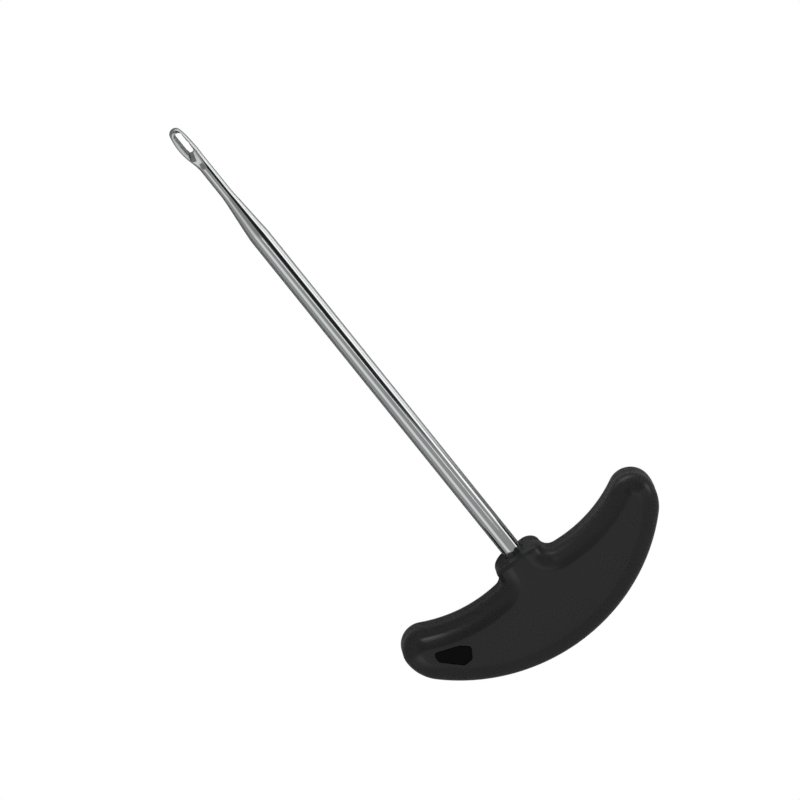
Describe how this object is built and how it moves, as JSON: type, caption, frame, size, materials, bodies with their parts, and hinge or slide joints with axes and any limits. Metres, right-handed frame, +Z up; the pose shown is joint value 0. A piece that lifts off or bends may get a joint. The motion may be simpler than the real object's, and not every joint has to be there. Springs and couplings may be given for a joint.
{
  "type": "tyre plug insertion tool",
  "caption": "Hand tool that pushes a rubber plug into a punctured tyre: a chromed round shank with an eyed tip in a black half-moon T-handle.",
  "frame": {"origin": "on the floor under the middle of the tool's overall length, with the flat back of the handle on the floor", "axes": "+Y along the shank towards the eyed tip, +X across the handle to the right wing, +Z up out of the handle's front face"},
  "size_m": [0.0904, 0.2, 0.016],
  "materials": {
    "chromed_steel": "bright chrome plate over ground steel rod",
    "pin_steel": "plain ground dowel",
    "handle_plastic": "satin moulded black plastic",
    "badge_plastic": "smooth black inlay, left blank"
  },
  "bodies": {
    "root": {"shank": "chromed_steel", "anchor_pin": "pin_steel", "front_shell": "handle_plastic", "back_shell": "handle_plastic", "blank_badge": "badge_plastic"}
  },
  "joints": []
}
